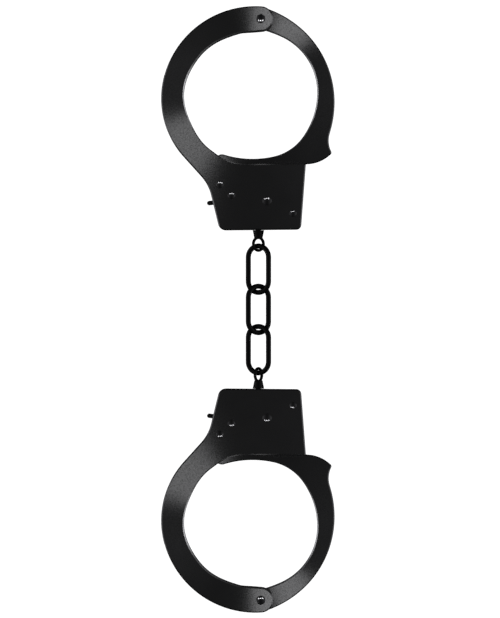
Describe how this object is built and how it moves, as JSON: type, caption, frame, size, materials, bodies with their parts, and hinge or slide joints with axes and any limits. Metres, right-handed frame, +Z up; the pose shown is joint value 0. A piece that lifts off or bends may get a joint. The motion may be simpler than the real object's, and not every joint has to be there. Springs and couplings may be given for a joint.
{
  "type": "handcuffs",
  "caption": "Pair of black steel chain handcuffs with toothed swinging arms, ratchet pawls, swivelling eyes and a linked chain.",
  "frame": {"origin": "centre of the whole pair's footprint, on the surface that the cuffs lie flat on", "axes": "+Z up out of the front cheek plates, +Y along the chain from cuff B to cuff A, +X towards the swinging arms"},
  "size_m": [0.0799, 0.2792, 0.008],
  "materials": {
    "cheek_steel": "black satin coated steel plate, circular brushed under the coat",
    "arm_steel": "black satin coated forged steel",
    "rivet_steel": "black gloss domed rivet heads",
    "chain_steel": "black gloss plated wire",
    "lever_steel": "black satin",
    "lock_steel": "plain machined steel",
    "spring_steel": "polished spring strip"
  },
  "bodies": {
    "cuff_a": {"front_cheek_plate_a": "cheek_steel", "rear_cheek_plate_a": "cheek_steel", "left_spacer_a": "lock_steel", "lock_block_a": "lock_steel", "key_post_a": "lock_steel", "pawl_spring_a": "spring_steel", "hinge_rivet_a": "rivet_steel", "pawl_rivet_a": "rivet_steel", "lever_rivet_a": "rivet_steel", "spacer_rivet_a": "rivet_steel", "block_rivet_a": "rivet_steel"},
    "arm_a": {"swing_arm_a": "arm_steel"},
    "lever_a": {"release_lever_a": "lever_steel"},
    "pawl_a": {"pawl_a": "lock_steel"},
    "eye_a": {"swivel_eye_a": "chain_steel"},
    "cuff_b": {"front_cheek_plate_b": "cheek_steel", "rear_cheek_plate_b": "cheek_steel", "left_spacer_b": "lock_steel", "lock_block_b": "lock_steel", "key_post_b": "lock_steel", "pawl_spring_b": "spring_steel", "hinge_rivet_b": "rivet_steel", "pawl_rivet_b": "rivet_steel", "lever_rivet_b": "rivet_steel", "spacer_rivet_b": "rivet_steel", "block_rivet_b": "rivet_steel"},
    "arm_b": {"swing_arm_b": "arm_steel"},
    "lever_b": {"release_lever_b": "lever_steel"},
    "pawl_b": {"pawl_b": "lock_steel"},
    "eye_b": {"swivel_eye_b": "chain_steel"},
    "link_1": {"chain_link_1": "chain_steel"},
    "link_2": {"chain_link_2": "chain_steel"},
    "link_3": {"chain_link_3": "chain_steel"}
  },
  "joints": [
    {"name": "arm_a_swing", "type": "hinge", "parent": "cuff_a", "child": "arm_a", "pos_m": [0.0059, 0.1338, 0.0035], "axis": [0, 0, 1], "continuous": true},
    {"name": "lever_a_turn", "type": "hinge", "parent": "cuff_a", "child": "lever_a", "pos_m": [-0.00764, 0.05244, 0.0035], "axis": [0, 0, 1], "range_deg": [-0.2, 11.7]},
    {"name": "pawl_a_turn", "type": "hinge", "parent": "cuff_a", "child": "pawl_a", "pos_m": [0.00874, 0.04996, 0.0035], "axis": [0, 0, 1], "range_deg": [-6, 0], "deforming": ["pawl_spring_a"]},
    {"name": "arm_b_swing", "type": "hinge", "parent": "cuff_b", "child": "arm_b", "pos_m": [0.0059, -0.1338, 0.0035], "axis": [0, 0, -1], "continuous": true},
    {"name": "lever_b_turn", "type": "hinge", "parent": "cuff_b", "child": "lever_b", "pos_m": [-0.00764, -0.05244, 0.0035], "axis": [0, 0, -1], "range_deg": [-0.2, 11.7]},
    {"name": "pawl_b_turn", "type": "hinge", "parent": "cuff_b", "child": "pawl_b", "pos_m": [0.00874, -0.04996, 0.0035], "axis": [0, 0, -1], "range_deg": [-6, 0], "deforming": ["pawl_spring_b"]},
    {"name": "eye_a_swivel", "type": "hinge", "parent": "cuff_a", "child": "eye_a", "pos_m": [0.00478, 0.038, 0.0035], "axis": [0, 1, 0], "continuous": true},
    {"name": "link_1_bend", "type": "hinge", "parent": "eye_a", "child": "link_1", "pos_m": [0.00478, 0.02925, 0.0035], "axis": [0.9026, 0, 0.4305], "range_deg": [-75, 75]},
    {"name": "link_2_bend", "type": "hinge", "parent": "link_1", "child": "link_2", "pos_m": [0.00478, 0.00785, 0.0035], "axis": [-0.7071, 0, -0.7071], "range_deg": [-75, 75]},
    {"name": "link_3_bend", "type": "hinge", "parent": "link_2", "child": "link_3", "pos_m": [0.00478, -0.0107, 0.0035], "axis": [0.7071, 0, -0.7071], "range_deg": [-75, 75]},
    {"name": "eye_b_bend", "type": "hinge", "parent": "link_3", "child": "eye_b", "pos_m": [0.00478, -0.02925, 0.0035], "axis": [-0.9026, 0, -0.4305], "range_deg": [-75, 75]},
    {"name": "cuff_b_swivel", "type": "hinge", "parent": "eye_b", "child": "cuff_b", "pos_m": [0.00478, -0.038, 0.0035], "axis": [0, 1, 0], "continuous": true}
  ],
  "couplings": [
    {"joint": "lever_a_turn", "follows": "pawl_a_turn", "ratio": -1.9065},
    {"joint": "lever_b_turn", "follows": "pawl_b_turn", "ratio": -1.9065}
  ]
}
